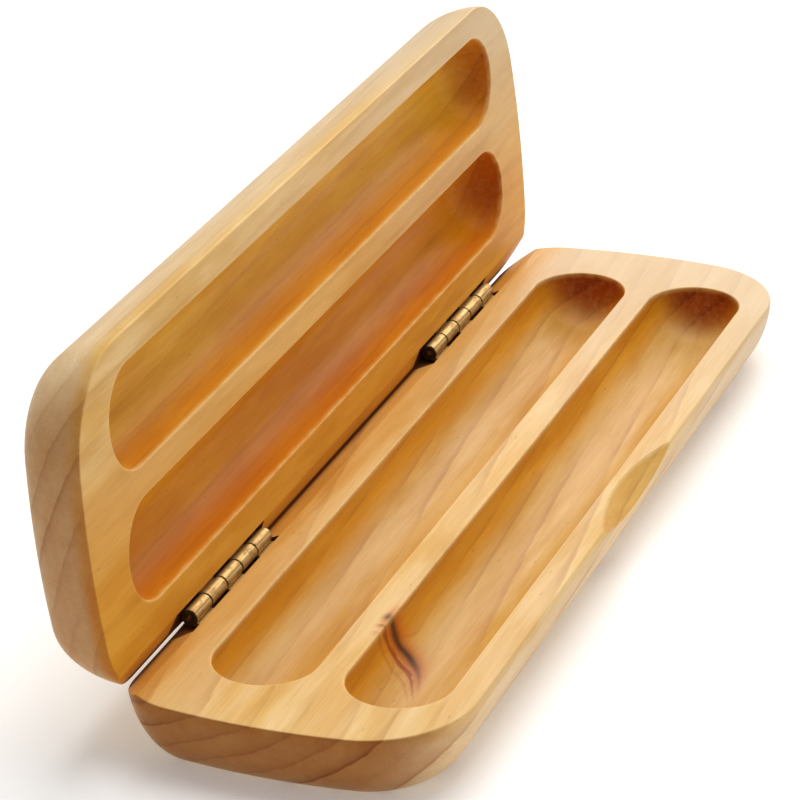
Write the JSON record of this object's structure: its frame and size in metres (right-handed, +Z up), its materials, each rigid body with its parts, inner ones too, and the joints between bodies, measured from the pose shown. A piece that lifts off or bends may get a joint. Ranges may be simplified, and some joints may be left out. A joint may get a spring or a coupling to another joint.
{
  "type": "fountain pen case",
  "caption": "Hinged wooden case with round-bottomed pen grooves in each half, brass barrel hinges at the rear and a thumb notch at the front.",
  "frame": {"origin": "centre of the base's flat underside", "axes": "+X along the pens, to the right of a user who faces the thumb notch; +Y to the hinges at the rear; +Z up"},
  "size_m": [0.175, 0.0632, 0.0594],
  "materials": {
    "base_wood": "maple, clear satin oil",
    "lid_wood": "maple, clear satin oil",
    "hinge_brass": "rolled brass, lightly tarnished",
    "hinge_pin": "drawn brass wire"
  },
  "bodies": {
    "base": {"base": "base_wood", "left_hinge_base_leaf": "hinge_brass", "left_hinge_pin": "hinge_pin", "right_hinge_base_leaf": "hinge_brass", "right_hinge_pin": "hinge_pin"},
    "lid": {"lid": "lid_wood", "left_hinge_lid_leaf": "hinge_brass", "right_hinge_lid_leaf": "hinge_brass"}
  },
  "joints": [
    {"name": "lid_hinge", "type": "hinge", "parent": "base", "child": "lid", "pos_m": [0, 0.0229, 0.0115], "axis": [1, 0, 0], "range_deg": [0, 95]}
  ]
}
